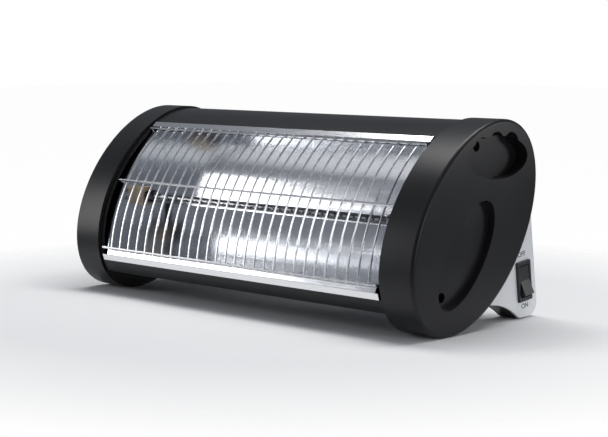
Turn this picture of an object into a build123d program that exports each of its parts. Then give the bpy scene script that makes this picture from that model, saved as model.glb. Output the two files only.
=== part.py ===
from build123d import *
from math import asin, cos, degrees, radians, sin, sqrt
import os

# A small carbon-lamp room heater: a wide drum between two leaning oval end caps, on two rear legs.
# +X runs along the drum, the wire guard faces -Y, +Z is up and Z = 0 is the floor.
# The origin is on the floor, under the middle of the overall length and depth.

# Overall
half_length = 209.0

# Oval end caps: half axes of the outline and how far its long axis leans back
cap_long_radius = 98.0
cap_short_radius = 62.0
cap_lean = 50.0
cap_width = 34.0
cap_wall = 2.5
cap_rim_radius = 3.0
cap_web = 2.4
spigot_wall = 2.0
spigot_length = 3.5

# Sheet steel drum
skin_inset = 2.0
skin_sheet = 1.0
skin_fold_radius = 3.0
skin_lip = 7.0
underside_level = -66.2
fit_gap = 0.3
seat_gap = 0.1

# Legs
leg_setback = 13.0
leg_wall = 2.2
cover_sheet = 2.5
heel_reach = 19.6
pad_proud = 0.6
leg_screw_angles = [-55.0, -85.0]
leg_screw_radius = 1.5

# Derived extents of the leaning oval
cap_half_height = sqrt(
    (cap_long_radius * sin(radians(cap_lean))) ** 2
    + (cap_short_radius * cos(radians(cap_lean))) ** 2
)
cap_half_depth = sqrt(
    (cap_long_radius * cos(radians(cap_lean))) ** 2
    + (cap_short_radius * sin(radians(cap_lean))) ** 2
)
cap_center_y = -heel_reach / 2
cap_center_z = cap_half_height
cap_inner_x = half_length - cap_width
spigot_end_x = cap_inner_x - spigot_length
leg_end_x = half_length - leg_setback - cover_sheet
leg_middle_x = (cap_inner_x + leg_end_x) / 2

# Profiles are drawn looking along -X, from the centre of the oval: first +Y, then +Z
side = Plane(origin=(0, cap_center_y, cap_center_z), x_dir=(0, 1, 0), z_dir=(1, 0, 0))
wide = 4 * cap_long_radius
oval_plane_turn = 33.0

os.makedirs("parts", exist_ok=True)


def at_side(y, z, x=0.0):
    """World point for a place in the side profile."""
    return (x, cap_center_y + y, cap_center_z + z)


def oval_plane(angle, x):
    """Plane lying on the cap's oval at this angle from its long axis, facing outwards."""
    lean = radians(cap_lean)
    along = cap_long_radius * cos(radians(angle))
    across = cap_short_radius * sin(radians(angle))
    out_along = cap_short_radius * cos(radians(angle))
    out_across = cap_long_radius * sin(radians(angle))
    size = sqrt(out_along**2 + out_across**2)
    out_y = (out_along * cos(lean) - out_across * sin(lean)) / size
    out_z = (out_along * sin(lean) + out_across * cos(lean)) / size
    turn = radians(oval_plane_turn)
    return Plane(
        origin=at_side(
            along * cos(lean) - across * sin(lean),
            along * sin(lean) + across * cos(lean),
            x,
        ),
        x_dir=(cos(turn), sin(turn) * out_z, -sin(turn) * out_y),
        z_dir=(0, out_y, out_z),
    )


def save(builder, name):
    """Label a finished piece and write it."""
    builder.part.label = name
    export_step(builder.part, "parts/" + name + ".step")


def save_mirrored(builder, name):
    """Write the same piece for the other end of the heater."""
    with BuildPart() as twin:
        mirror(builder.part, about=Plane.YZ)
    save(twin, name)


def drum_prism(inset, start_x, length, fold_radius):
    """Solid drum: the leaning oval, inset all round, with its flat folded underside."""
    with BuildPart() as prism:
        with BuildSketch(side.offset(start_x)):
            Ellipse(
                cap_long_radius - skin_inset - inset,
                cap_short_radius - skin_inset - inset,
                rotation=cap_lean,
            )
            with Locations((0, underside_level + inset)):
                Rectangle(wide, wide, align=(Align.CENTER, Align.MAX), mode=Mode.SUBTRACT)
        extrude(amount=length)
        folds = prism.edges().filter_by(Axis.X)
        fillet(folds, fold_radius)
    return prism.part


# End cap: a deep moulded cup, closed outside, with a finger recess and a long oval dish in its face
recess_depth = 11.5
recess_center = (25.8, 54.2)
recess_half_length = 39.0
recess_half_height = 17.5
scallop_radius = 10.0
scallop_centers = [(5.3, 61.5), (24.0, 65.2), (42.8, 64.3)]
dish_depth = 7.0
dish_center = (-12.7, -21.5)
dish_long_radius = 50.0
dish_short_radius = 22.5
dish_lean = 53.0
dish_crown = 2.0
pocket_wall = 2.0
draft = 6.0
cap_screw_places = [(11.9, 63.3), (-37.0, -53.6)]
screw_well_radius = 4.2
screw_boss_radius = 6.2
screw_shank_radius = 1.75
screw_clearance = 0.25
screw_head_radius = 3.6
screw_head_height = 2.4
screw_seat_x = cap_inner_x + cap_web + 8.0

bracket_sheet = 1.0
bracket_x = spigot_end_x - bracket_sheet
outer_face_x = half_length
dish_dome_radius = (dish_long_radius**2 + dish_crown**2) / (2 * dish_crown)


def recess_shape(margin):
    """Outline of the finger recess, grown by a margin."""
    with Locations(recess_center):
        Ellipse(recess_half_length + margin, recess_half_height + margin)
    with Locations(*scallop_centers):
        Circle(scallop_radius + margin)


def dish_shape(margin):
    """Outline of the long oval dish, grown by a margin."""
    with Locations(dish_center):
        Ellipse(dish_long_radius + margin, dish_short_radius + margin, rotation=dish_lean)


# Long shallow crown on the floor of the dish
with BuildPart() as dish_floor:
    with BuildSketch(side.offset(outer_face_x - dish_depth - cap_wall)):
        dish_shape(pocket_wall)
    extrude(amount=cap_wall + dish_crown)
    dome_top_x = outer_face_x - dish_depth + dish_crown
    with Locations(at_side(*dish_center, x=dome_top_x - dish_dome_radius)):
        Sphere(dish_dome_radius, mode=Mode.INTERSECT)

with BuildPart() as right_end_cap:
    with BuildSketch(side.offset(cap_inner_x)):
        Ellipse(cap_long_radius, cap_short_radius, rotation=cap_lean)
    extrude(amount=cap_width)
    fillet(right_end_cap.faces().sort_by(Axis.X)[-1].edges(), cap_rim_radius)
    with BuildSketch(side.offset(cap_inner_x + cap_web)):
        Ellipse(cap_long_radius - cap_wall, cap_short_radius - cap_wall, rotation=cap_lean)
    extrude(amount=cap_width - cap_web - cap_wall, mode=Mode.SUBTRACT)
    add(drum_prism(skin_sheet + fit_gap, spigot_end_x, spigot_length, skin_fold_radius))
    add(
        drum_prism(
            skin_sheet + fit_gap + spigot_wall,
            spigot_end_x,
            spigot_length + cap_web,
            skin_fold_radius,
        ),
        mode=Mode.SUBTRACT,
    )
    # Pocket walls behind the face
    with BuildSketch(side.offset(outer_face_x - recess_depth - cap_wall)):
        recess_shape(pocket_wall)
    extrude(amount=recess_depth + cap_wall / 2)
    with BuildSketch(side.offset(outer_face_x - dish_depth - cap_wall)):
        dish_shape(pocket_wall)
    extrude(amount=dish_depth + cap_wall / 2)
    # Screw bosses down to the bracket
    with BuildSketch(side.offset(bracket_x + bracket_sheet)):
        with Locations(*cap_screw_places):
            Circle(screw_boss_radius)
    extrude(until=Until.NEXT, target=right_end_cap.part)
    # Openings of the pockets; the dish narrows inwards and gets its crowned floor
    with BuildSketch(side.offset(outer_face_x)):
        recess_shape(0)
    extrude(amount=-recess_depth, mode=Mode.SUBTRACT)
    with BuildSketch(side.offset(outer_face_x)):
        dish_shape(0)
    extrude(amount=-dish_depth, taper=draft, mode=Mode.SUBTRACT)
    add(dish_floor.part)
    # Screw wells and shank holes
    with BuildSketch(side.offset(screw_seat_x)):
        with Locations(*cap_screw_places):
            Circle(screw_well_radius)
    extrude(amount=outer_face_x - dish_depth - screw_seat_x + dish_crown, mode=Mode.SUBTRACT)
    with BuildSketch(side.offset(bracket_x)):
        with Locations(*cap_screw_places):
            Circle(screw_shank_radius + screw_clearance)
    extrude(amount=screw_seat_x - bracket_x, mode=Mode.SUBTRACT)
    # Holes in the band for the leg's screws
    for angle in leg_screw_angles:
        with BuildSketch(oval_plane(angle, leg_middle_x)):
            Circle(leg_screw_radius + screw_clearance)
        extrude(amount=-2 * cap_wall, mode=Mode.SUBTRACT)

save(right_end_cap, "right_end_cap")
save_mirrored(right_end_cap, "left_end_cap")

# End bracket: sheet steel plate inside the drum's end, cut away behind the guard
guard_radius = 166.0
bow_middle = (-54.57, 17.82)
bow_lean = 150.35
bow_half_chord = 64.46
guard_center = (
    bow_middle[0] - guard_radius * cos(radians(bow_lean)),
    bow_middle[1] - guard_radius * sin(radians(bow_lean)),
)
guard_half_span = degrees(asin(bow_half_chord / guard_radius))
guard_start = bow_lean - guard_half_span
guard_end = bow_lean + guard_half_span
wire_radius = 0.9
lamp_place = (-33.7, 3.0)
lead_hole_radius = 4.0
harness_place = (48.0, -10.0)
harness_hole_radius = 5.0
reflector_flange_depth = 3.2
reflector_flange_radius = guard_radius - reflector_flange_depth

# Bent tabs that take the screws through the drum's skin
tab_reach = 8.0
tab_width = 10.0
tab_middle_x = bracket_x - tab_reach / 2
rear_tab_angle = -40.0
under_tab_y = -20.0
skin_screw_radius = 1.45
skin_screw_clearance = 0.15
skin_screw_length = 5.0
skin_screw_head_radius = 2.8
skin_screw_head_height = 1.6
under_screw_plane = Plane(
    origin=at_side(under_tab_y, underside_level, x=tab_middle_x),
    x_dir=(1, 0, 0),
    z_dir=(0, 0, -1),
)
rear_screw_plane = oval_plane(rear_tab_angle, tab_middle_x).offset(-skin_inset)
skin_screw_planes = [under_screw_plane, rear_screw_plane]

with BuildPart() as right_bracket:
    with BuildSketch(side.offset(bracket_x)):
        Ellipse(
            cap_long_radius - skin_inset - skin_sheet - fit_gap,
            cap_short_radius - skin_inset - skin_sheet - fit_gap,
            rotation=cap_lean,
        )
        with Locations((0, underside_level + skin_sheet + fit_gap)):
            Rectangle(wide, wide, align=(Align.CENTER, Align.MAX), mode=Mode.SUBTRACT)
        with Locations(guard_center):
            Circle(reflector_flange_radius - 2 * fit_gap - skin_sheet, mode=Mode.INTERSECT)
        with Locations(lamp_place):
            Circle(lead_hole_radius, mode=Mode.SUBTRACT)
        with Locations(harness_place):
            Circle(harness_hole_radius, mode=Mode.SUBTRACT)
        with Locations(*cap_screw_places):
            Circle(screw_shank_radius + screw_clearance, mode=Mode.SUBTRACT)
    extrude(amount=bracket_sheet)
    for seat in skin_screw_planes:
        with BuildSketch(Plane(origin=seat.origin, x_dir=(1, 0, 0), z_dir=seat.z_dir).offset(-skin_sheet - fit_gap)):
            Rectangle(tab_reach, tab_width)
        extrude(amount=-bracket_sheet)
        with BuildSketch(seat):
            Circle(skin_screw_radius + 0.05)
        extrude(amount=-tab_reach, mode=Mode.SUBTRACT)
save(right_bracket, "right_end_bracket")
save_mirrored(right_bracket, "left_end_bracket")

# Screws that hold the caps to the brackets
cap_screw_length = screw_seat_x - bracket_x + 4.0
with BuildPart() as right_cap_screws:
    with BuildSketch(side.offset(screw_seat_x)):
        with Locations(*cap_screw_places):
            Circle(screw_head_radius)
    extrude(amount=screw_head_height)
    with BuildSketch(side.offset(screw_seat_x - cap_screw_length)):
        with Locations(*cap_screw_places):
            Circle(screw_shank_radius)
    extrude(amount=cap_screw_length)
with BuildPart() as cap_screws:
    add(right_cap_screws.part)
    mirror(right_cap_screws.part, about=Plane.YZ)
save(cap_screws, "end_cap_screws")

# Drum skin: one folded sheet from the top edge of the window round the back to its lower edge
window_top = (-9.9, 71.2)
window_bottom = (-75.0, -54.6)
trim_sheet = 0.8
louvre_length = 26.0
louvre_height = 3.4
louvre_pitch = 38.0
louvre_columns = 7
louvre_levels = [12.0, 24.0, 36.0]

skin_length = 2 * cap_inner_x
cut_reach = 20.0
top_return_way = (0.68, -0.73)
bottom_return_way = (0.98, 0.2)
skin_top = (window_top[0] - fit_gap * top_return_way[1], window_top[1] + fit_gap * top_return_way[0])
skin_bottom = (
    window_bottom[0] + fit_gap * bottom_return_way[1],
    window_bottom[1] - fit_gap * bottom_return_way[0],
)
window_cut = [
    (skin_top[0] - cut_reach * top_return_way[0], skin_top[1] - cut_reach * top_return_way[1]),
    (skin_top[0] + cut_reach * top_return_way[0], skin_top[1] + cut_reach * top_return_way[1]),
    (
        skin_bottom[0] + cut_reach * bottom_return_way[0],
        skin_bottom[1] + cut_reach * bottom_return_way[1],
    ),
    (
        skin_bottom[0] - cut_reach * bottom_return_way[0],
        skin_bottom[1] - cut_reach * bottom_return_way[1],
    ),
    (-wide, skin_bottom[1] - cut_reach * bottom_return_way[1]),
    (-wide, skin_top[1] - cut_reach * top_return_way[1]),
]
with BuildPart() as body_skin:
    add(drum_prism(0, -cap_inner_x, skin_length, skin_fold_radius))
    add(
        drum_prism(skin_sheet, -cap_inner_x, skin_length, skin_fold_radius - skin_sheet),
        mode=Mode.SUBTRACT,
    )
    with BuildSketch(side.offset(-cap_inner_x)):
        with BuildLine():
            Polyline(*window_cut, close=True)
        make_face()
    extrude(amount=skin_length, mode=Mode.SUBTRACT)
    # Louvres across the back
    for level in louvre_levels:
        with BuildSketch(Plane.XZ.offset(-cap_half_depth / 2)):
            with Locations((0, cap_center_z + level)):
                with GridLocations(louvre_pitch, 1, louvre_columns, 1):
                    Rectangle(louvre_length, louvre_height)
        extrude(amount=-cap_half_depth, mode=Mode.SUBTRACT)
    # Holes for the skin's screws
    for seat in skin_screw_planes:
        with BuildSketch(Plane(origin=seat.origin, x_dir=(1, 0, 0), z_dir=seat.z_dir)):
            with Locations((0, 0), (-2 * tab_middle_x, 0)):
                Circle(skin_screw_radius + skin_screw_clearance)
        extrude(amount=2 * skin_sheet, both=True, mode=Mode.SUBTRACT)
save(body_skin, "body_skin")

with BuildPart() as right_skin_screws:
    for seat in skin_screw_planes:
        with BuildSketch(seat.offset(seat_gap)):
            Circle(skin_screw_head_radius)
        extrude(amount=skin_screw_head_height)
        with BuildSketch(seat.offset(seat_gap)):
            Circle(skin_screw_radius)
        extrude(amount=-skin_screw_length)
with BuildPart() as skin_screws:
    add(right_skin_screws.part)
    mirror(right_skin_screws.part, about=Plane.YZ)
save(skin_screws, "skin_screws")

# Bright trims along the window: strips with a folded return
trim_half_length = spigot_end_x - fit_gap
top_return = 6.0
bottom_return = 3.4


def strip(name, path, sheet, length):
    """Folded strip drawn by its outer line in the side profile, from end to end of the window."""
    with BuildPart() as folded:
        with BuildSketch(side.offset(-length / 2)):
            with BuildLine():
                Polyline(*path)
                offset(amount=sheet, side=Side.LEFT, kind=Kind.INTERSECTION)
            make_face()
        extrude(amount=length)
    save(folded, name)


top_trim_lower = (-14.5, 67.2)
top_return_end = (
    window_top[0] + top_return * top_return_way[0],
    window_top[1] + top_return * top_return_way[1],
)
strip("top_trim", [top_return_end, window_top, top_trim_lower], trim_sheet, 2 * trim_half_length)

bottom_trim_upper = (-76.6, -49.2)
bottom_return_end = (
    window_bottom[0] + bottom_return * bottom_return_way[0],
    window_bottom[1] + bottom_return * bottom_return_way[1],
)
strip("bottom_trim", [bottom_trim_upper, window_bottom, bottom_return_end], trim_sheet, 2 * trim_half_length)

# Wire guard: bowed wires welded to three long rods whose ends hook into the reflector's ends
wire_count = 28
wire_edge_gap = 11.5
wire_pitch = 2 * (spigot_end_x - wire_edge_gap) / (wire_count - 1)
rod_radius = 1.1
rod_lift = 1.9
rod_angles = [guard_start + 2.0, bow_lean, guard_end - 0.6]
hook_x = spigot_end_x - 2.3
hook_depth = 6.5
guard_axis = Axis(at_side(*guard_center), (1, 0, 0))


def on_guard(radius, angle):
    """Place in the side profile on a circle about the guard's centre line."""
    return (
        guard_center[0] + radius * cos(radians(angle)),
        guard_center[1] + radius * sin(radians(angle)),
    )


def rod_hook_plane(angle):
    """Plane across the radius at this angle, at the line of a long rod."""
    outward = (0, cos(radians(angle)), sin(radians(angle)))
    place = on_guard(guard_radius + rod_lift, angle)
    return Plane(origin=at_side(*place), x_dir=(1, 0, 0), z_dir=outward)


def guard_plane(angle):
    """Plane through the guard's centre line: first +X, then outwards at this angle."""
    lean = radians(angle)
    return Plane(origin=at_side(*guard_center), x_dir=(1, 0, 0), z_dir=(0, -sin(lean), cos(lean)))


with BuildPart() as wire_guard:
    with BuildSketch(guard_plane(guard_start)):
        with Locations((0, guard_radius)):
            with GridLocations(wire_pitch, 1, wire_count, 1):
                RegularPolygon(wire_radius, 6)
    revolve(axis=guard_axis, revolution_arc=guard_end - guard_start)
    for angle in rod_angles:
        with BuildSketch(side.offset(-hook_x - rod_radius)):
            with Locations(on_guard(guard_radius + rod_lift, angle)):
                RegularPolygon(rod_radius, 6)
        extrude(amount=2 * (hook_x + rod_radius))
        # Ends bent inwards
        with BuildSketch(rod_hook_plane(angle)):
            with Locations((hook_x, 0), (-hook_x, 0)):
                RegularPolygon(rod_radius, 6)
        extrude(amount=-hook_depth)
save(wire_guard, "wire_guard")

# Reflector: one polished trough behind the lamp
reflector_sheet = 0.6
reflector_half_length = spigot_end_x - 4.7
reflector_top = (-8.1, 67.7)
reflector_lip = (-12.9, 63.2)
reflector_back = (-0.4, 30.0)
reflector_bend = (-12.7, -9.0)
reflector_floor = (-55.0, -39.0)
reflector_corner = (-73.4, -45.2)
reflector_end = (-75.2, -50.4)


def trough_line():
    """The trough's section from its upper lip round the back to its front corner."""
    rear = ThreePointArc(reflector_lip, reflector_back, reflector_bend)
    TangentArc(reflector_bend, reflector_floor, tangent=rear % 1)
    Line(reflector_floor, reflector_corner)


with BuildPart() as reflector:
    with BuildSketch(side.offset(-reflector_half_length)):
        with BuildLine():
            Line(reflector_top, reflector_lip)
            trough_line()
            Line(reflector_corner, reflector_end)
            offset(amount=reflector_sheet, side=Side.LEFT, kind=Kind.INTERSECTION)
        make_face()
    extrude(amount=2 * reflector_half_length)
save(reflector, "reflector")

# Reflector ends: flat plates with a flange along the bow of the guard
end_plate_x = reflector_half_length + 0.2
end_plate_sheet = 0.8
flange_end_x = spigot_end_x - fit_gap
flange_start = guard_start + 1.8
flange_end = guard_end - 0.8
lamp_cap_width = 13.0
lamp_cap_height = 17.0


with BuildPart() as right_reflector_end:
    with BuildSketch(side.offset(end_plate_x)):
        with BuildLine():
            trough_line()
            bow_middle = on_guard(reflector_flange_radius + end_plate_sheet, bow_lean)
            ThreePointArc(reflector_corner, bow_middle, reflector_lip)
        make_face()
        with Locations(lamp_place):
            Rectangle(lamp_cap_width + 2 * fit_gap, lamp_cap_height + 2 * fit_gap, mode=Mode.SUBTRACT)
    extrude(amount=end_plate_sheet)
    with BuildSketch(side.offset(end_plate_x)):
        with BuildLine():
            reach = 2 * guard_radius
            Polyline(guard_center, on_guard(reach, flange_start), on_guard(reach, flange_end), close=True)
        make_face()
        with Locations(guard_center):
            Circle(reflector_flange_radius + end_plate_sheet, mode=Mode.INTERSECT)
            Circle(reflector_flange_radius, mode=Mode.SUBTRACT)
    extrude(amount=flange_end_x - end_plate_x)
    for angle in rod_angles:
        with BuildSketch(rod_hook_plane(angle)):
            with Locations((hook_x, 0)):
                Circle(rod_radius + 0.2)
        extrude(amount=-2 * hook_depth, mode=Mode.SUBTRACT)
save(right_reflector_end, "right_reflector_end")
save_mirrored(right_reflector_end, "left_reflector_end")

# Lamp: quartz tube, carbon ribbon, leads, ceramic caps and spring clips
tube_radius = 5.0
tube_wall = 1.0
lamp_cap_length = 14.3
lamp_cap_end_x = bracket_x - 0.2
tube_half_length = lamp_cap_end_x - lamp_cap_length + 4.0
tube_socket = 4.0
ribbon_start_x = -tube_half_length + 29.0
ribbon_end_x = tube_half_length - 17.0
ribbon_height = 6.4
ribbon_sheet = 0.8
ribbon_window = (5.2, 1.6)
ribbon_window_pitch = 7.2
lead_radius = 0.7
lamp = Plane(origin=at_side(*lamp_place), x_dir=(0, 1, 0), z_dir=(1, 0, 0))

with BuildPart() as quartz_tube:
    with BuildSketch(lamp.offset(-tube_half_length)):
        Circle(tube_radius)
        Circle(tube_radius - tube_wall, mode=Mode.SUBTRACT)
    extrude(amount=2 * tube_half_length)
save(quartz_tube, "quartz_tube")

ribbon_length = ribbon_end_x - ribbon_start_x
ribbon_middle_x = (ribbon_start_x + ribbon_end_x) / 2
ribbon_plane = Plane(
    origin=at_side(*lamp_place, x=ribbon_middle_x),
    x_dir=(1, 0, 0),
    z_dir=(0, -1, 0),
)
with BuildPart() as carbon_ribbon:
    with BuildSketch(ribbon_plane):
        Rectangle(ribbon_length, ribbon_height)
        with GridLocations(ribbon_window_pitch, 1, 36, 1):
            Rectangle(*ribbon_window, mode=Mode.SUBTRACT)
    extrude(amount=ribbon_sheet / 2, both=True)
save(carbon_ribbon, "carbon_ribbon")

lead_end_x = lamp_cap_end_x - 0.3
lead_block = (4.0, 2.4, 5.0)
for name, ribbon_tip, sign in (("right", ribbon_end_x, 1), ("left", ribbon_start_x, -1)):
    with BuildPart() as lamp_lead:
        with BuildSketch(lamp.offset(ribbon_tip)):
            Circle(lead_radius)
        extrude(amount=sign * lead_end_x - ribbon_tip)
        with Locations(at_side(*lamp_place, x=ribbon_tip + sign * lead_block[0] / 2)):
            Box(*lead_block)
    save(lamp_lead, name + "_lamp_lead")

lamp_cap_start_x = tube_half_length - tube_socket
with BuildPart() as right_lamp_cap:
    with BuildSketch(lamp.offset(lamp_cap_start_x)):
        RectangleRounded(lamp_cap_width, lamp_cap_height, 2)
    extrude(amount=lamp_cap_end_x - lamp_cap_start_x)
    with BuildSketch(lamp.offset(lamp_cap_start_x)):
        Circle(tube_radius + 0.05)
    extrude(amount=tube_socket, mode=Mode.SUBTRACT)
    with BuildSketch(lamp.offset(lamp_cap_start_x)):
        Circle(lead_radius + 0.3)
    extrude(amount=lamp_cap_end_x - lamp_cap_start_x, mode=Mode.SUBTRACT)
save(right_lamp_cap, "right_lamp_cap")
save_mirrored(right_lamp_cap, "left_lamp_cap")

clip_start_x = end_plate_x - 20.0
clip_width = 8.0
clip_sheet = 0.8
clip_arm = 7.0
clip_reach = 12.0
with BuildPart() as right_lamp_clip:
    with BuildSketch(lamp.offset(clip_start_x)):
        Circle(tube_radius + clip_sheet)
        with Locations((tube_radius / 2 + clip_arm / 2 + 0.4, 0)):
            Rectangle(clip_arm + clip_sheet - tube_radius / 2, clip_arm)
        Circle(tube_radius + 0.05, mode=Mode.SUBTRACT)
        with Locations((-tube_radius - clip_sheet, 0)):
            Rectangle(tube_radius, tube_radius, mode=Mode.SUBTRACT)
    extrude(amount=clip_width)
    with BuildSketch(lamp.offset(clip_start_x)):
        with Locations((clip_arm, 0)):
            Rectangle(clip_sheet, clip_arm, align=(Align.MIN, Align.CENTER))
    extrude(amount=end_plate_x - clip_start_x)
    with BuildSketch(lamp.offset(end_plate_x - clip_sheet)):
        with Locations((clip_arm, 0)):
            Rectangle(clip_reach, clip_arm, align=(Align.MIN, Align.CENTER))
    extrude(amount=clip_sheet)
save(right_lamp_clip, "right_lamp_clip")
save_mirrored(right_lamp_clip, "left_lamp_clip")

# Leg: hollow moulding that saddles the end cap behind and below, closed by a white cover
leg_heel_top = (98.5, -68.9)
leg_rear_top = (88.0, 10.0)
leg_crest = (76.5, 52.0)
leg_sole_level = -cap_half_height + pad_proud
leg_sole_front = (74.3, leg_sole_level)
leg_sole_rear = (86.0, leg_sole_level)
leg_wave = [(56.5, -73.9), (71.5, -82.5)]
leg_toe = (36.0, -69.3)
leg_hidden = [(25.0, -45.0), (55.0, 30.0)]
cover_inset = 0.5
cover_outer_x = leg_end_x + cover_sheet


with BuildSketch() as leg_contour:
    with BuildLine():
        Line(leg_heel_top, leg_rear_top)
        TangentArc(
            leg_rear_top,
            leg_crest,
            tangent=(leg_rear_top[0] - leg_heel_top[0], leg_rear_top[1] - leg_heel_top[1]),
        )
        Polyline(leg_crest, leg_hidden[1], leg_hidden[0], leg_toe)
        ThreePointArc(leg_toe, *leg_wave)
        Polyline(leg_wave[1], leg_sole_front, leg_sole_rear)
        TangentArc(leg_sole_rear, leg_heel_top, tangent=(1, 0))
    make_face()


def leg_shape(inset, saddle_gap):
    """Side outline of a leg, inset all round, cut to saddle the cap's oval with a gap."""
    offset(leg_contour.sketch, amount=-inset, kind=Kind.INTERSECTION, mode=Mode.ADD)
    Ellipse(
        cap_long_radius + saddle_gap,
        cap_short_radius + saddle_gap,
        rotation=cap_lean,
        mode=Mode.SUBTRACT,
    )


pad_size = (12.0, 9.0, 2.5)
pad_place = (80.0, -cap_half_height)

leg_boss_radius = 4.0
leg_boss_depth = 9.0
leg_screw_length = 9.0
leg_screw_head_radius = 2.8
leg_screw_head_height = 2.0
post_places = [(80.0, -30.0), (46.0, -57.0)]
post_radius = 3.5
peg_radius = 1.8
peg_length = 5.5
peg_clearance = 0.1

with BuildPart() as left_leg_twin:
    with BuildSketch(side.offset(cap_inner_x)):
        leg_shape(0, fit_gap)
    extrude(amount=leg_end_x - cap_inner_x)
    with BuildSketch(side.offset(cap_inner_x + leg_wall)):
        leg_shape(leg_wall, fit_gap + leg_wall)
    extrude(amount=leg_end_x - cap_inner_x - leg_wall, mode=Mode.SUBTRACT)
    # Thick sole, screw bosses on the saddle and posts for the cover's pegs
    with BuildSketch(side.offset(cap_inner_x)):
        with Locations((pad_place[0], leg_sole_level)):
            Rectangle(pad_size[1] + 2, 2 * pad_size[2], align=(Align.CENTER, Align.MIN))
    extrude(amount=leg_end_x - cap_inner_x)
    for angle in leg_screw_angles:
        with BuildSketch(oval_plane(angle, leg_middle_x).offset(fit_gap)):
            Circle(leg_boss_radius)
        extrude(amount=leg_boss_depth)
        with BuildSketch(oval_plane(angle, leg_middle_x)):
            Circle(leg_screw_radius + 0.05)
        extrude(amount=leg_boss_depth, mode=Mode.SUBTRACT)
    with BuildSketch(side.offset(cap_inner_x)):
        with Locations(*post_places):
            Circle(post_radius)
    extrude(amount=leg_end_x - cap_inner_x)
    with BuildSketch(side.offset(leg_end_x)):
        with Locations(*post_places):
            Circle(peg_radius + peg_clearance)
    extrude(amount=-peg_length - 0.5, mode=Mode.SUBTRACT)
    # Pocket for the foot pad
    with Locations(at_side(*pad_place, x=leg_middle_x)):
        Box(
            pad_size[0] + 2 * peg_clearance,
            pad_size[1] + 2 * peg_clearance,
            2 * pad_size[2],
            mode=Mode.SUBTRACT,
        )
save_mirrored(left_leg_twin, "left_leg")

# Cable gland in the rear wall of the right leg
gland_level = -15.0
gland_neck_radius = 5.0
gland_flange_radius = 6.5
gland_flange = 2.0
gland_depth = 8.0
gland_bore_radius = 3.5
rear_slope = (leg_heel_top[0] - leg_rear_top[0]) / (leg_rear_top[1] - leg_heel_top[1])
gland_place = (leg_heel_top[0] - rear_slope * (gland_level - leg_heel_top[1]), gland_level)
gland_plane = Plane(
    origin=at_side(*gland_place, x=leg_middle_x),
    x_dir=(1, 0, 0),
    z_dir=(0, 1, rear_slope),
)

with BuildPart() as right_leg:
    add(left_leg_twin.part)
    with BuildSketch(gland_plane):
        Circle(gland_neck_radius + peg_clearance)
    extrude(amount=-2 * leg_wall, mode=Mode.SUBTRACT)
save(right_leg, "right_leg")

with BuildPart() as cable_gland:
    with BuildSketch(gland_plane):
        Circle(gland_flange_radius)
    extrude(amount=gland_flange)
    with BuildSketch(gland_plane.offset(-gland_depth)):
        Circle(gland_neck_radius)
    extrude(amount=gland_depth)
    with BuildSketch(gland_plane.offset(-gland_depth)):
        Circle(gland_bore_radius)
    extrude(amount=gland_depth + gland_flange, mode=Mode.SUBTRACT)
save(cable_gland, "cable_gland")

# White leg covers with two pegs each; the right one has the switch opening
switch_place = (79.2, -52.9)
switch_lean = 7.2
switch_width = 16.0
switch_height = 31.0
bezel_width = 18.5
bezel_height = 34.5
bezel_proud = 2.2
switch_depth = 11.5
cavity_width = 12.8
cavity_height = 27.6
cavity_depth = 9.0
switch_lean_radians = radians(switch_lean)
switch_across = (0, cos(switch_lean_radians), sin(switch_lean_radians))
switch_up = (0, -sin(switch_lean_radians), cos(switch_lean_radians))
switch_face = Plane(
    origin=at_side(*switch_place, x=cover_outer_x),
    x_dir=switch_across,
    z_dir=(1, 0, 0),
)

with BuildPart() as plain_cover:
    with BuildSketch(side.offset(leg_end_x)):
        leg_shape(cover_inset, fit_gap)
    extrude(amount=cover_sheet)
    with BuildSketch(side.offset(leg_end_x - peg_length)):
        with Locations(*post_places):
            Circle(peg_radius)
    extrude(amount=peg_length)
save_mirrored(plain_cover, "left_leg_cover")

with BuildPart() as right_leg_cover:
    add(plain_cover.part)
    with BuildSketch(switch_face):
        Rectangle(switch_width + 2 * fit_gap, switch_height + 2 * fit_gap)
    extrude(amount=-2 * cover_sheet, mode=Mode.SUBTRACT)
save(right_leg_cover, "right_leg_cover")

# Rubber foot pads
with BuildPart() as right_foot_pad:
    with Locations(at_side(*pad_place, x=leg_middle_x)):
        Box(*pad_size, align=(Align.CENTER, Align.CENTER, Align.MIN))
    fillet(right_foot_pad.faces().sort_by(Axis.Z)[0].edges(), 0.5)
save(right_foot_pad, "right_foot_pad")
save_mirrored(right_foot_pad, "left_foot_pad")

# Screws from inside the caps into the legs
with BuildPart() as right_leg_screws:
    for angle in leg_screw_angles:
        seat = oval_plane(angle, leg_middle_x).offset(-cap_wall - seat_gap)
        with BuildSketch(seat):
            Circle(leg_screw_head_radius)
        extrude(amount=-leg_screw_head_height)
        with BuildSketch(seat):
            Circle(leg_screw_radius)
        extrude(amount=leg_screw_length)
with BuildPart() as leg_screws:
    add(right_leg_screws.part)
    mirror(right_leg_screws.part, about=Plane.YZ)
save(leg_screws, "leg_screws")

# Rocker switch: housing with bezel, rocker on a cross pin, brass blades
rocker_width = 12.0
rocker_end_radius = 13.4
rocker_pivot_depth = 1.5
rocker_tip = (12.1, 5.7)
rocker_waist = 3.4
rocker_under = -3.2
rocker_rest_angle = 11.0
rocker_pin_radius = 1.5
rocker_pin_reach = 1.2
rocker_pin_clearance = 0.05
blade_width = 4.8
blade_sheet = 0.8
blade_length = 6.0
blade_offset = 8.0

pivot_point = at_side(*switch_place, x=cover_outer_x - rocker_pivot_depth)
pivot_plane = Plane(origin=pivot_point, x_dir=switch_up, z_dir=switch_across)
rest_sine = sin(radians(rocker_rest_angle))
rest_cosine = cos(radians(rocker_rest_angle))
rest_plane = Plane(
    origin=pivot_point,
    x_dir=(-rest_sine, rest_cosine * switch_up[1], rest_cosine * switch_up[2]),
    z_dir=switch_across,
)

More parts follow.
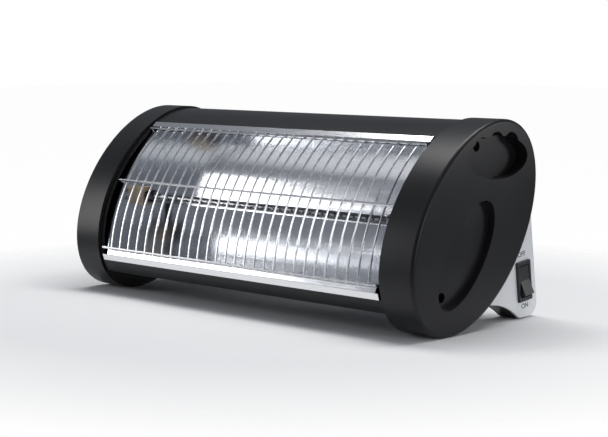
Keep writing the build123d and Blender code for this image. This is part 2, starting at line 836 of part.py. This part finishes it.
with BuildPart() as switch_housing:
    with BuildSketch(switch_face):
        RectangleRounded(bezel_width, bezel_height, 1.5)
    extrude(amount=bezel_proud)
    fillet(switch_housing.faces().sort_by(Axis.X)[-1].edges(), 0.8)
    with BuildSketch(switch_face):
        Rectangle(switch_width, switch_height)
    extrude(amount=-switch_depth)
    with BuildSketch(switch_face.offset(bezel_proud)):
        Rectangle(cavity_width, cavity_height)
    extrude(amount=-cavity_depth - bezel_proud, mode=Mode.SUBTRACT)
    with BuildSketch(pivot_plane):
        Circle(rocker_pin_radius + rocker_pin_clearance)
    extrude(amount=cavity_width / 2 + rocker_pin_reach, both=True, mode=Mode.SUBTRACT)
    with BuildSketch(switch_face.offset(-switch_depth)):
        with Locations((0, blade_offset), (0, -blade_offset)):
            Rectangle(blade_width + 0.02, blade_sheet + 0.02)
    extrude(amount=1.0, mode=Mode.SUBTRACT)
save(switch_housing, "switch_housing")

with BuildPart() as switch_rocker:
    with BuildSketch(rest_plane):
        under_reach = sqrt(rocker_end_radius**2 - rocker_under**2)
        with BuildLine():
            Polyline((-rocker_tip[0], rocker_tip[1]), (0, rocker_waist), rocker_tip)
            ThreePointArc(rocker_tip, (rocker_end_radius, 0), (under_reach, rocker_under))
            Line((under_reach, rocker_under), (-under_reach, rocker_under))
            ThreePointArc(
                (-under_reach, rocker_under),
                (-rocker_end_radius, 0),
                (-rocker_tip[0], rocker_tip[1]),
            )
        make_face()
    extrude(amount=rocker_width / 2, both=True)
    with BuildSketch(pivot_plane):
        Circle(rocker_pin_radius)
    extrude(amount=cavity_width / 2 + rocker_pin_reach - 0.2, both=True)
save(switch_rocker, "switch_rocker")

with BuildPart() as switch_blades:
    with BuildSketch(switch_face.offset(-switch_depth - blade_length)):
        with Locations((0, blade_offset), (0, -blade_offset)):
            Rectangle(blade_width, blade_sheet)
    extrude(amount=blade_length + 1.0)
save(switch_blades, "switch_blades")

# Terminal block on the right bracket
block_place = (40.0, 12.0)
block_size = (10.0, 22.0, 14.0)
block_ways = 3
block_hole_radius = 1.6
block_pitch = 6.5
with BuildPart() as terminal_block:
    with Locations(at_side(*block_place, x=bracket_x + bracket_sheet + block_size[0] / 2)):
        Box(*block_size)
    with BuildSketch(Plane.XY.offset(cap_center_z + block_place[1])):
        with Locations((bracket_x + bracket_sheet + block_size[0] / 2, cap_center_y + block_place[0])):
            with GridLocations(1, block_pitch, 1, block_ways):
                Circle(block_hole_radius)
    extrude(amount=block_size[2] / 2, both=True, mode=Mode.SUBTRACT)
save(terminal_block, "terminal_block")

# Insulated wires
insulation_radius = 1.1
behind_cap_x = spigot_end_x + 6.5
block_wire_x = bracket_x + bracket_sheet + block_size[0] / 2
block_under = block_place[1] - block_size[2] / 2


def run_wire(points):
    """Round wire along a route with rounded bends; the route is in world coordinates."""
    with BuildPart() as wire:
        with BuildLine() as route:
            Polyline(*points)
        with BuildSketch(Plane(origin=points[0], z_dir=Vector(*points[1]) - Vector(*points[0]))):
            Circle(insulation_radius)
        sweep(path=route.wire(), transition=Transition.RIGHT)
    return wire.part


lamp_wire_start_x = bracket_x - 0.1
wire_over_block = 9.0
wire_step = (20.0, 4.0)
wire_entry = 2.0
block_top = block_place[1] + block_size[2] / 2
with BuildPart() as right_lamp_wire:
    add(
        run_wire(
            [
                at_side(*lamp_place, x=lamp_wire_start_x),
                at_side(*lamp_place, x=behind_cap_x),
                at_side(wire_step[0], block_top + wire_over_block, x=behind_cap_x),
                at_side(block_place[0] - block_pitch, block_top + wire_over_block, x=block_wire_x),
                at_side(block_place[0] - block_pitch, block_top - wire_entry, x=block_wire_x),
            ]
        )
    )
save(right_lamp_wire, "right_lamp_wire")

with BuildPart() as left_lamp_wire:
    add(
        run_wire(
            [
                at_side(*lamp_place, x=-lamp_wire_start_x),
                at_side(*lamp_place, x=-behind_cap_x),
                at_side(*harness_place, x=-behind_cap_x),
                at_side(*harness_place, x=block_wire_x),
                at_side(block_place[0] + block_pitch, harness_place[1] + wire_step[1], x=block_wire_x),
                at_side(block_place[0] + block_pitch, block_under + wire_entry, x=block_wire_x),
            ]
        )
    )
save(left_lamp_wire, "left_lamp_wire")
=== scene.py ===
import math

import bpy
from mathutils import Matrix, Vector


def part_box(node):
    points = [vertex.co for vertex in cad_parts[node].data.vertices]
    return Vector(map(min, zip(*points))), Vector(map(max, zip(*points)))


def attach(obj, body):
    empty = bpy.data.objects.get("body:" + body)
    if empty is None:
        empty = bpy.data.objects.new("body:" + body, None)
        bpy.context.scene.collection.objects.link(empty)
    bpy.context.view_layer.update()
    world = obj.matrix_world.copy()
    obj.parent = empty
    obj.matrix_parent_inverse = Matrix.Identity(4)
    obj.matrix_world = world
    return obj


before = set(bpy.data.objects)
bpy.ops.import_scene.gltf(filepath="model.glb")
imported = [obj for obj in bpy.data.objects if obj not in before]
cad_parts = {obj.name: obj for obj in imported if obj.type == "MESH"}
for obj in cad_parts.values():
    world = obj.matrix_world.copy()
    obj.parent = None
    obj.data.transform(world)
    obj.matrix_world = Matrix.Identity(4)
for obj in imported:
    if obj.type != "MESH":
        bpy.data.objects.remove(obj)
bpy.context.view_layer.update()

# Camera: a long lens in front of the heater's right end, a little above it and
# looking slightly down
camera_down = math.radians(6.27)
camera_turn = math.radians(44.38)
bpy.ops.object.camera_add(location=(0.9951, -1.0105, 0.2310))
camera = bpy.context.object
camera.name = "camera"
camera.rotation_euler = (math.pi / 2 - camera_down, 0, camera_turn)
camera.data.lens = 94.74
camera.data.sensor_width = 36
camera.data.clip_start = 0.05
bpy.context.scene.camera = camera
bpy.context.scene.view_settings.view_transform = "Standard"


class Value:
    """A shader output that adds, multiplies and mixes like a number."""

    def __init__(self, graph, socket):
        self.graph = graph
        self.socket = socket

    def math(self, operation, other):
        return self.graph.node("ShaderNodeMath", {"operation": operation}, {0: self, 1: other})

    def __add__(self, other):
        return self.math("ADD", other)

    def __mul__(self, other):
        return self.math("MULTIPLY", other)

    def __radd__(self, other):
        return self.math("ADD", other)

    def __rmul__(self, other):
        return self.math("MULTIPLY", other)

    def above(self, low, high):
        """Ramp from 0 at low to 1 at high."""
        inputs = {"Value": self, "From Min": low, "From Max": high}
        return self.graph.node("ShaderNodeMapRange", {"clamp": True}, inputs)


class Graph:
    """One material with its principled shader."""

    def __init__(self, name):
        self.material = bpy.data.materials.new(name)
        self.material.use_nodes = True
        self.tree = self.material.node_tree
        self.shader = self.tree.nodes["Principled BSDF"]
        self.place = self.node("ShaderNodeTexCoord", {}, {}, "Object")

    def node(self, kind, settings, inputs, output=0):
        """Add a node: its kind, its settings, then values or links for its inputs."""
        made = self.tree.nodes.new(kind)
        for key, setting in settings.items():
            setattr(made, key, setting)
        for key, value in inputs.items():
            self.feed(made.inputs[key], value)
        return Value(self, made.outputs[output])

    def feed(self, socket, value):
        if isinstance(value, Value):
            self.tree.links.new(value.socket, socket)
        else:
            socket.default_value = value

    def set(self, name, value):
        self.feed(self.shader.inputs[name], value)

    def stretch(self, x, y, z):
        """Object coordinates stretched along the axes."""
        inputs = {0: self.place, 1: (x, y, z)}
        return self.node("ShaderNodeVectorMath", {"operation": "MULTIPLY"}, inputs)

    def noise(self, scale, detail=2.0, vector=None, rough=0.5):
        """Cloudy value between 0 and 1."""
        inputs = {"Vector": vector or self.place, "Scale": scale, "Detail": detail, "Roughness": rough}
        return self.node("ShaderNodeTexNoise", {}, inputs, "Fac")

    def blend(self, factor, first, second):
        """Colour between two colours."""
        made = self.tree.nodes.new("ShaderNodeMix")
        made.data_type = "RGBA"
        self.feed(made.inputs[0], factor)
        self.feed(made.inputs[6], first)
        self.feed(made.inputs[7], second)
        return Value(self, made.outputs[2])

    def bump(self, height, distance, strength=1.0):
        inputs = {"Height": height, "Distance": distance, "Strength": strength}
        self.set("Normal", self.node("ShaderNodeBump", {}, inputs))


def dress(graph, *nodes):
    """Give CAD pieces a material."""
    for name in nodes:
        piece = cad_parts[name]
        piece.data.materials.clear()
        piece.data.materials.append(graph.material)


# Floor: the pale, plain surface that the heater stands on, seen only close to it
# and gone before it could show a horizon
bpy.ops.mesh.primitive_plane_add(size=12)
floor = bpy.context.object
floor.name = "floor"
floor_paint = Graph("floor_paint")
floor_tone = floor_paint.noise(3.0)
pale, paler = (0.86, 0.86, 0.86, 1), (0.9, 0.9, 0.9, 1)
floor_paint.set("Base Color", floor_paint.blend(floor_tone, pale, paler))
floor_paint.set("Roughness", 0.75)
fade_start, fade_end = 0.28, 0.5
length_of = {"operation": "LENGTH"}
reach = floor_paint.node("ShaderNodeVectorMath", length_of, {0: floor_paint.place}, "Value")
fade = reach.above(fade_start, fade_end)
floor_paint.set("Alpha", 1.0 + -0.98 * fade)
floor.data.materials.append(floor_paint.material)

# Studio: white backdrop for the eye, soft grey surroundings for light and reflections
world = bpy.data.worlds.new("studio")
bpy.context.scene.world = world
world.use_nodes = True
sky = world.node_tree
sky.nodes.clear()
sky_out = sky.nodes.new("ShaderNodeOutputWorld")
sky_mix = sky.nodes.new("ShaderNodeMixShader")
sky_soft = sky.nodes.new("ShaderNodeBackground")
sky_soft.inputs["Color"].default_value = (0.82, 0.88, 1.0, 1)
sky_soft.inputs["Strength"].default_value = 0.2
sky_white = sky.nodes.new("ShaderNodeBackground")
sky_white.inputs["Color"].default_value = (1, 1, 1, 1)
sky_ray = sky.nodes.new("ShaderNodeLightPath")
sky.links.new(sky_ray.outputs["Is Camera Ray"], sky_mix.inputs[0])
sky.links.new(sky_soft.outputs[0], sky_mix.inputs[1])
sky.links.new(sky_white.outputs[0], sky_mix.inputs[2])
sky.links.new(sky_mix.outputs[0], sky_out.inputs[0])


def softbox(name, place, target, width, height, power):
    """Rectangular studio light pointed at a place."""
    bpy.ops.object.light_add(type="AREA", location=place)
    lamp = bpy.context.object
    lamp.name = name
    lamp.data.shape = "RECTANGLE"
    lamp.data.size = width
    lamp.data.size_y = height
    lamp.data.energy = power
    lamp.visible_camera = False
    lamp.rotation_euler = (Vector(target) - Vector(place)).to_track_quat("-Z", "Y").to_euler()


softbox("top_light", (-0.1, 0.25, 1.5), (0, 0, 0.1), 1.8, 0.5, 20)
softbox("front_light", (-1.5, -1.1, 0.5), (-0.1, 0, 0.1), 0.5, 0.9, 7)
softbox("face_light", (0.56, 0.36, 0.2), (0.21, -0.03, 0.11), 0.12, 0.12, 0.35)
softbox("leg_light", (1.5, -0.1, 0.4), (0.2, 0.08, 0.05), 0.3, 0.3, 2.6)

# End caps and legs: thick black plastic mouldings. The mould's fine spark-eroded grain
# keeps them satin, with slightly shinier patches where hands rub them
moulding = Graph("black_moulding")
grain = moulding.noise(1400.0, 2.0)
wear = moulding.noise(22.0, 4.0)
moulding.set("Base Color", moulding.blend(wear, (0.008, 0.008, 0.009, 1), (0.014, 0.014, 0.015, 1)))
moulding.set("Roughness", 0.3 + 0.1 * wear)
moulding.set("Specular IOR Level", 0.32)
moulding.bump(grain, 0.00006, 0.35)
dress(moulding, "right_end_cap", "left_end_cap", "right_leg", "left_leg")

# Drum skin: rolled sheet steel with satin black enamel, which dries with a very fine
# orange-peel surface
enamel = Graph("black_enamel")
peel = enamel.noise(420.0, 1.0)
rub = enamel.noise(14.0, 3.0)
enamel.set("Base Color", enamel.blend(rub, (0.007, 0.007, 0.008, 1), (0.012, 0.012, 0.013, 1)))
enamel.set("Roughness", 0.26 + 0.1 * rub)
enamel.set("Specular IOR Level", 0.32)
enamel.bump(peel, 0.00008, 0.25)
dress(enamel, "body_skin")

# Trims: thin bright aluminium strips folded over the window's long edges, with the
# rolling lines running along them
strip = Graph("bright_strip")
rolled = strip.noise(60.0, 3.0, strip.stretch(0.6, 30.0, 30.0))
strip.set("Metallic", 1.0)
strip.set("Base Color", strip.blend(rolled, (0.84, 0.85, 0.87, 1), (0.93, 0.93, 0.94, 1)))
strip.set("Roughness", 0.16 + 0.12 * rolled)
strip.bump(rolled, 0.00002, 0.3)
dress(strip, "top_trim", "bottom_trim")

# Guard: bright plated wires, bowed over the lamp, and the three long rods that
# carry them
plated = Graph("plated_wire")
drawn = plated.noise(90.0, 2.0)
plated.set("Metallic", 1.0)
plated.set("Base Color", plated.blend(drawn, (0.72, 0.72, 0.74, 1), (0.86, 0.86, 0.88, 1)))
plated.set("Roughness", 0.2 + 0.15 * drawn)
dress(plated, "wire_guard")

# Reflector: the polished aluminium trough behind the lamp and its two end plates,
# with faint rolling streaks and a soft waviness
mirror = Graph("polished_sheet")
streak = mirror.noise(40.0, 4.0, mirror.stretch(1.0, 22.0, 22.0))
waves = mirror.noise(9.0, 1.0)
mirror.set("Metallic", 1.0)
mirror.set("Base Color", mirror.blend(streak, (0.8, 0.82, 0.86, 1), (0.92, 0.93, 0.95, 1)))
mirror.set("Roughness", 0.1 + 0.16 * streak)
mirror.bump(waves + 0.04 * streak, 0.002, 0.25)
dress(mirror, "reflector", "right_reflector_end", "left_reflector_end")

# Lamp tube: a straight tube of clear quartz glass, held by a ceramic cap at each end
quartz = Graph("clear_quartz")
quartz.set("Base Color", (0.97, 0.98, 1.0, 1))
quartz.set("Transmission Weight", 1.0)
quartz.set("IOR", 1.46)
quartz.set("Roughness", 0.02 + 0.04 * quartz.noise(60.0))
dress(quartz, "quartz_tube")

# Carbon ribbon: the heating element inside the tube, a matt black strip of
# woven carbon fibre
carbon = Graph("woven_carbon")
weave = carbon.node("ShaderNodeTexChecker", {}, {"Vector": carbon.place, "Scale": 1200.0}, "Fac")
carbon.set("Base Color", carbon.blend(weave, (0.012, 0.012, 0.012, 1), (0.04, 0.04, 0.04, 1)))
carbon.set("Roughness", 0.55 + 0.2 * weave)
dress(carbon, "carbon_ribbon")

# Lamp ends: tan unglazed steatite caps, drawn wire leads inside the tube, and blued
# spring clips that hold the caps
steatite = Graph("tan_steatite")
speck = steatite.noise(500.0, 3.0)
steatite.set("Base Color", steatite.blend(speck, (0.5, 0.38, 0.25, 1), (0.66, 0.53, 0.38, 1)))
steatite.set("Roughness", 0.6 + 0.2 * speck)
steatite.bump(speck, 0.0001, 0.4)
dress(steatite, "right_lamp_cap", "left_lamp_cap")

lead_wire = Graph("lead_wire")
lead_wire.set("Metallic", 1.0)
lead_wire.set("Base Color", (0.4, 0.4, 0.42, 1))
lead_wire.set("Roughness", 0.3 + 0.2 * lead_wire.noise(200.0))
dress(lead_wire, "right_lamp_lead", "left_lamp_lead")

blued = Graph("blued_steel")
blued.set("Metallic", 0.6)
blued.set("Base Color", (0.03, 0.03, 0.035, 1))
blued.set("Roughness", 0.3 + 0.2 * blued.noise(120.0))
dress(blued, "right_lamp_clip", "left_lamp_clip")

# Leg covers: glossy white plastic plates pegged to the outer sides of the legs;
# the right one carries the switch
white = Graph("gloss_white")
flow = white.noise(35.0, 2.0)
white.set("Base Color", white.blend(flow, (0.78, 0.79, 0.81, 1), (0.83, 0.84, 0.85, 1)))
white.set("Roughness", 0.14 + 0.08 * flow)
white.bump(white.noise(180.0), 0.00005, 0.2)
dress(white, "right_leg_cover", "left_leg_cover")

# Foot pads and cable gland: soft black rubber, matt and a little dusty
rubber = Graph("soft_rubber")
dust = rubber.noise(160.0, 3.0)
rubber.set("Base Color", rubber.blend(dust, (0.02, 0.02, 0.02, 1), (0.045, 0.045, 0.045, 1)))
rubber.set("Roughness", 0.7 + 0.15 * dust)
dress(rubber, "right_foot_pad", "left_foot_pad", "cable_gland")

# Switch: a snap-in rocker switch with satin black housing and rocker, and brass
# blades behind it inside the leg
satin = Graph("satin_black")
satin_grain = satin.noise(900.0)
satin.set("Base Color", (0.02, 0.02, 0.022, 1))
satin.set("Roughness", 0.28 + 0.12 * satin_grain)
satin.bump(satin_grain, 0.00004, 0.3)
dress(satin, "switch_housing", "switch_rocker")

brass = Graph("bright_brass")
brass.set("Metallic", 1.0)
brass.set("Base Color", (0.78, 0.58, 0.26, 1))
brass.set("Roughness", 0.25 + 0.2 * brass.noise(150.0))
dress(brass, "switch_blades")

# Switch markings: OFF over the bezel and ON under it, printed flat on the right
# cover and turned with the leaning switch
print_ink = Graph("print_ink")
print_ink.set("Base Color", (0.02, 0.02, 0.02, 1))
print_ink.set("Roughness", 0.4 + 0.1 * print_ink.noise(700.0))
bezel_low, bezel_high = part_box("switch_housing")
cover_face_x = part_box("right_leg_cover")[1].x
switch_lean = math.radians(7.2)
letter_height = 0.006
ink_thickness = 0.00003
letter_thickening = 0.00006
ink_lift = 0.00004
across = Vector((0, math.cos(switch_lean), math.sin(switch_lean)))
up = Vector((0, -math.sin(switch_lean), math.cos(switch_lean)))
bezel_middle = (bezel_low + bezel_high) / 2
for word, height in (("OFF", 0.0228), ("ON", -0.0215)):
    bpy.ops.object.select_all(action="DESELECT")
    bpy.ops.object.text_add()
    marking = bpy.context.object
    marking.name = "marking_" + word.lower()
    marking.data.body = word
    marking.data.size = letter_height
    marking.data.offset = letter_thickening
    marking.data.align_x = "CENTER"
    marking.data.align_y = "CENTER"
    marking.data.extrude = ink_thickness
    bpy.ops.object.convert(target="MESH")
    marking = bpy.context.object
    spot = bezel_middle + up * height
    turn = Matrix((across, up, (1, 0, 0))).transposed().to_4x4()
    turn.translation = Vector((cover_face_x + ink_lift, spot.y, spot.z))
    marking.data.transform(turn)
    marking.data.materials.clear()
    marking.data.materials.append(print_ink.material)
    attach(marking, "heater_body")

# Inside: zinc plated sheet brackets and screws, the terminal block where the mains
# arrives, and silicone covered wires to the lamp
zinc = Graph("zinc_plate")
spangle = zinc.noise(130.0, 2.0)
zinc.set("Metallic", 1.0)
zinc.set("Base Color", zinc.blend(spangle, (0.5, 0.51, 0.53, 1), (0.66, 0.67, 0.69, 1)))
zinc.set("Roughness", 0.3 + 0.2 * spangle)
dress(zinc, "right_end_bracket", "left_end_bracket", "end_cap_screws", "leg_screws", "skin_screws")

block = Graph("block_plastic")
block.set("Base Color", (0.75, 0.75, 0.7, 1))
block.set("Roughness", 0.45 + 0.2 * block.noise(300.0))
dress(block, "terminal_block")

sleeve = Graph("silicone_sleeve")
sleeve.set("Base Color", (0.45, 0.05, 0.03, 1))
sleeve.set("Roughness", 0.5 + 0.2 * sleeve.noise(400.0))
dress(sleeve, "right_lamp_wire", "left_lamp_wire")
